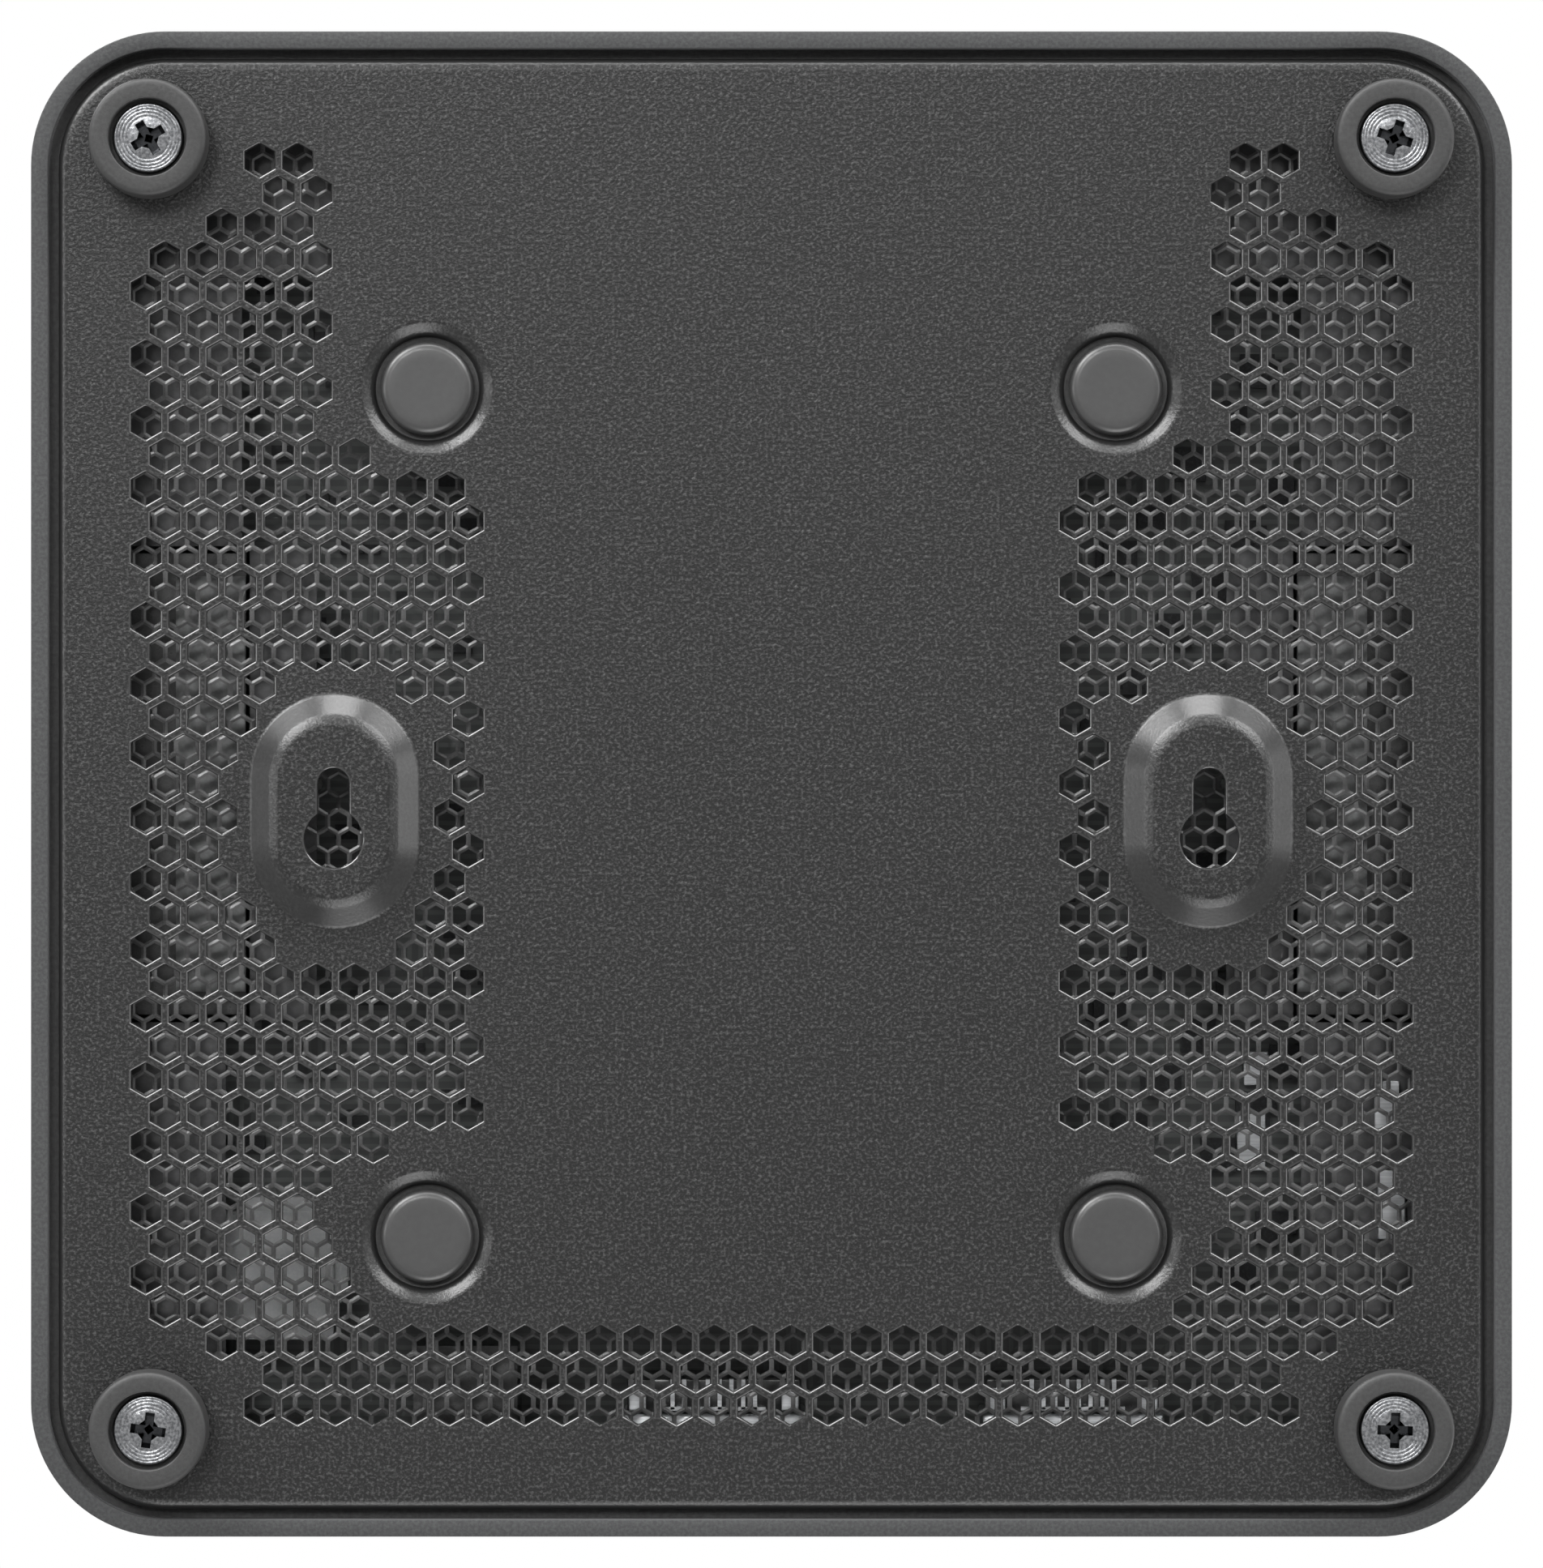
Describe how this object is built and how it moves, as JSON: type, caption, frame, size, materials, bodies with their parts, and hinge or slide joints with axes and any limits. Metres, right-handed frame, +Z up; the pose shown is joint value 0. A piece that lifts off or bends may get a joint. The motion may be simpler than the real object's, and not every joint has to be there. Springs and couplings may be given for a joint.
{
  "type": "mesh wifi node",
  "caption": "Square table-top wifi node with rounded corners, a perforated steel base on rubber feet, keyhole wall slots, rear network and power jacks and a sync button.",
  "frame": {"origin": "on the desk, under the middle of the case", "axes": "+Z up, -Y the front, +Y the back with the ports, +X to the right seen from the front"},
  "size_m": [0.1272, 0.1292, 0.0424],
  "materials": {
    "case_plastic": "fine moulded texture",
    "coated_steel": "textured powder coat",
    "foot_rubber": "matte moulded",
    "plug_rubber": "smooth moulded",
    "screw_steel": "dark zinc",
    "screen_steel": "dark coat",
    "board_laminate": "solder mask",
    "tin_plate": "tin plated",
    "black_plastic": "moulded",
    "chip_epoxy": "moulded",
    "thermal_pad": "soft silicone",
    "aluminium": "extruded",
    "ferrite": "pressed ferrite",
    "antenna_laminate": "solder mask",
    "lead_sleeve": "extruded sleeve",
    "light_pipe": "clear moulded",
    "led_lens": "clear moulded"
  },
  "bodies": {
    "node_body": {"case": "case_plastic", "base_plate": "coated_steel", "vent_screen": "screen_steel", "main_board": "board_laminate", "network_jack_left": "tin_plate", "network_jack_right": "tin_plate", "power_jack": "black_plastic", "sync_switch": "black_plastic", "reset_switch": "black_plastic", "processor": "chip_epoxy", "memory_chip": "chip_epoxy", "thermal_pad": "thermal_pad", "heat_sink": "aluminium", "heat_sink_screw_front": "screw_steel", "heat_sink_screw_rear": "screw_steel", "radio_shield_left": "tin_plate", "radio_shield_right": "tin_plate", "power_choke": "ferrite", "capacitor_left": "aluminium", "capacitor_right": "aluminium", "status_led": "led_lens", "light_pipe": "light_pipe", "foot_front_left": "foot_rubber", "base_screw_front_left": "screw_steel", "blanking_plug_front_left": "plug_rubber", "board_screw_front_left": "screw_steel", "foot_front_right": "foot_rubber", "base_screw_front_right": "screw_steel", "blanking_plug_front_right": "plug_rubber", "board_screw_front_right": "screw_steel", "foot_rear_left": "foot_rubber", "base_screw_rear_left": "screw_steel", "blanking_plug_rear_left": "plug_rubber", "board_screw_rear_left": "screw_steel", "foot_rear_right": "foot_rubber", "base_screw_rear_right": "screw_steel", "blanking_plug_rear_right": "plug_rubber", "board_screw_rear_right": "screw_steel", "antenna_left": "antenna_laminate", "antenna_front_left": "antenna_laminate", "antenna_holder_left": "black_plastic", "antenna_lead_left": "lead_sleeve", "antenna_lead_front_left": "lead_sleeve", "antenna_right": "antenna_laminate", "antenna_front_right": "antenna_laminate", "antenna_holder_right": "black_plastic", "antenna_lead_right": "lead_sleeve", "antenna_lead_front_right": "lead_sleeve"},
    "sync_key": {"sync_button": "case_plastic", "sync_plunger": "chip_epoxy"},
    "reset_key": {"reset_plunger": "chip_epoxy"}
  },
  "joints": [
    {"name": "sync_press", "type": "slide", "parent": "node_body", "child": "sync_key", "axis": [0, -1, 0], "range_m": [0, 0.0006], "stiffness_N_per_m": 1500},
    {"name": "reset_press", "type": "slide", "parent": "node_body", "child": "reset_key", "axis": [0, -1, 0], "range_m": [0, 0.0004], "stiffness_N_per_m": 1500}
  ]
}
